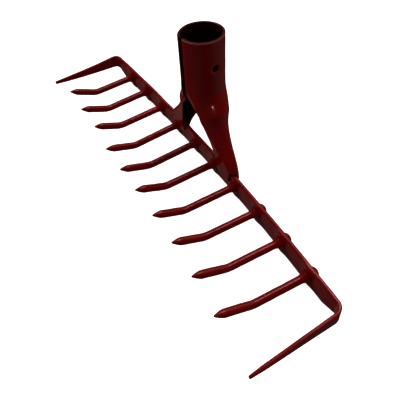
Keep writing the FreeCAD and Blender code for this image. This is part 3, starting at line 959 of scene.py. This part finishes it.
def make_floor():
    """A plain pale floor that only the camera sees: it neither lights the paint nor shows in it."""
    low, high = cad_box
    size = (high - low).length
    mesh = bpy.data.meshes.new("floor")
    half = size * 12
    level = low.z - 0.0002
    centre = (low + high) / 2
    corners = [(-half, -half), (half, -half), (half, half), (-half, half)]
    mesh.from_pydata([(centre.x + x, centre.y + y, level) for x, y in corners], [], [(0, 1, 2, 3)])
    floor = bpy.data.objects.new("floor", mesh)
    bpy.context.scene.collection.objects.link(floor)
    floor.visible_glossy = False
    floor.visible_diffuse = False
    floor.visible_transmission = False
    material = bpy.data.materials.new("pale_floor")
    material.use_nodes = True
    tree = material.node_tree
    surface = tree.nodes["Principled BSDF"]
    grain = tree.nodes.new("ShaderNodeTexNoise")
    grain.inputs["Scale"].default_value = 30
    tone = tree.nodes.new("ShaderNodeValToRGB")
    tone.color_ramp.elements[0].color = (0.97, 0.97, 0.97, 1)
    tone.color_ramp.elements[1].color = (1.0, 1.0, 1.0, 1)
    node_link(tree, grain, "Fac", tone, "Fac")
    node_link(tree, tone, "Color", surface, "Base Color")
    surface.inputs["Roughness"].default_value = 0.9
    surface.inputs["Specular IOR Level"].default_value = 0.0
    surface.inputs["Emission Color"].default_value = (1, 1, 1, 1)
    surface.inputs["Emission Strength"].default_value = 1.0
    mesh.materials.append(material)


def make_studio():
    """A dark room with soft patches of light for the paint; plain white for the camera."""
    world = bpy.data.worlds.new("studio")
    bpy.context.scene.world = world
    world.use_nodes = True
    tree = world.node_tree
    tree.nodes.clear()
    add = tree.nodes.new
    output = add("ShaderNodeOutputWorld")
    place = add("ShaderNodeTexCoord")

    room = add("ShaderNodeValue")
    room.outputs[0].default_value = ROOM_LIGHT
    light = room.outputs[0]
    for azimuth, elevation, inner, outer, strength in STUDIO_LAMPS:
        facing = add("ShaderNodeVectorMath")
        facing.operation = "DOT_PRODUCT"
        node_link(tree, place, "Generated", facing, 0)
        facing.inputs[1].default_value = direction(azimuth, elevation)
        patch = add("ShaderNodeMapRange")
        patch.interpolation_type = "SMOOTHSTEP"
        patch.inputs["From Min"].default_value = math.cos(math.radians(outer))
        patch.inputs["From Max"].default_value = math.cos(math.radians(inner))
        patch.inputs["To Max"].default_value = strength
        node_link(tree, facing, "Value", patch, "Value")
        total = add("ShaderNodeMath")
        total.operation = "ADD"
        tree.links.new(light, total.inputs[0])
        tree.links.new(patch.outputs["Result"], total.inputs[1])
        light = total.outputs[0]
    warm = add("ShaderNodeVectorMath")
    warm.operation = "SCALE"
    warm.inputs[0].default_value = WARMTH
    tree.links.new(light, warm.inputs["Scale"])
    studio = add("ShaderNodeBackground")
    tree.links.new(warm.outputs["Vector"], studio.inputs["Color"])

    seen = add("ShaderNodeBackground")
    seen.inputs["Color"].default_value = (1, 1, 1, 1)
    path = add("ShaderNodeLightPath")
    choose = add("ShaderNodeMixShader")
    node_link(tree, path, "Is Camera Ray", choose, 0)
    node_link(tree, studio, "Background", choose, 1)
    node_link(tree, seen, "Background", choose, 2)
    node_link(tree, choose, "Shader", output, "Surface")


def make_soft_lamp(name, azimuth, elevation, distance, side, power, mirrored):
    """A square lamp aimed at the middle of the object."""
    low, high = cad_box
    middle, reach = (low + high) / 2, (high - low).length * distance
    data = bpy.data.lights.new(name, "AREA")
    data.size = side
    data.energy = power
    data.color = WARMTH
    lamp = bpy.data.objects.new(name, data)
    lamp.visible_glossy = mirrored
    bpy.context.scene.collection.objects.link(lamp)
    away = direction(azimuth, elevation)
    lamp.location = middle + away * reach
    lamp.rotation_mode = "QUATERNION"
    lamp.rotation_quaternion = away.to_track_quat("Z", "Y")


def make_key_lamp(socket):
    """A small spot lamp on the knee of the +X leg, mirrored in the socket only."""
    knee = PLACE + Vector((MOUTH.x + SOCKET_RADIUS, axis_at(KNEE_LEVEL)[0], KNEE_LEVEL)) * MM
    data = bpy.data.lights.new("key_lamp", "SPOT")
    data.shadow_soft_size = KEY_LAMP_RADIUS
    data.energy = KEY_LAMP_POWER
    data.spot_size = KEY_LAMP_CONE
    data.spot_blend = KEY_LAMP_BLEND
    data.color = WARMTH
    lamp = bpy.data.objects.new("key_lamp", data)
    lamp.visible_diffuse = False
    bpy.context.scene.collection.objects.link(lamp)
    away = direction(*KEY_LAMP_FROM)
    lamp.location = knee + away * KEY_LAMP_DISTANCE
    lamp.rotation_mode = "QUATERNION"
    lamp.rotation_quaternion = away.to_track_quat("Z", "Y")
    lit = bpy.data.collections.new("lit_by_key_lamp")
    lit.objects.link(socket)
    lamp.light_linking.receiver_collection = lit


# ---- build ----------------------------------------------------------------------------------
steel_paint = paint("bar_enamel", 0.42, 0.2, 0.2)
sheet_paint = paint("socket_enamel", 0.42, 0.15, 0.15)
wire_paint = paint("tine_enamel", 0.42, 0.14, 0.2)
weld_paint = paint("weld_enamel", 0.40, 0.3, 0.4)
# the mouth's outer edge gets a painted highlight line
paint_mouth_highlight(sheet_paint)
rim_paint = paint("cut_edge_enamel", 0.10, 0.3, 0.2, 1.2)
# material of painted shade for the socket's inner faces
inside = shaded_inside_paint()

make_bar([steel_paint])
for number, x in enumerate(tine_positions()):
    make_tine(number, x, [wire_paint])
socket = make_socket([sheet_paint, inside, rim_paint])
make_weld("weld_left", [weld_paint])
make_weld("weld_right", [weld_paint])

make_floor()
make_studio()
make_key_lamp(socket)
for lamp_values in SOFT_LAMPS:
    make_soft_lamp(*lamp_values)
make_camera()

scene = bpy.context.scene
scene.view_settings.view_transform = "Standard"
scene.view_settings.look = "None"
scene.view_settings.gamma = 0.8
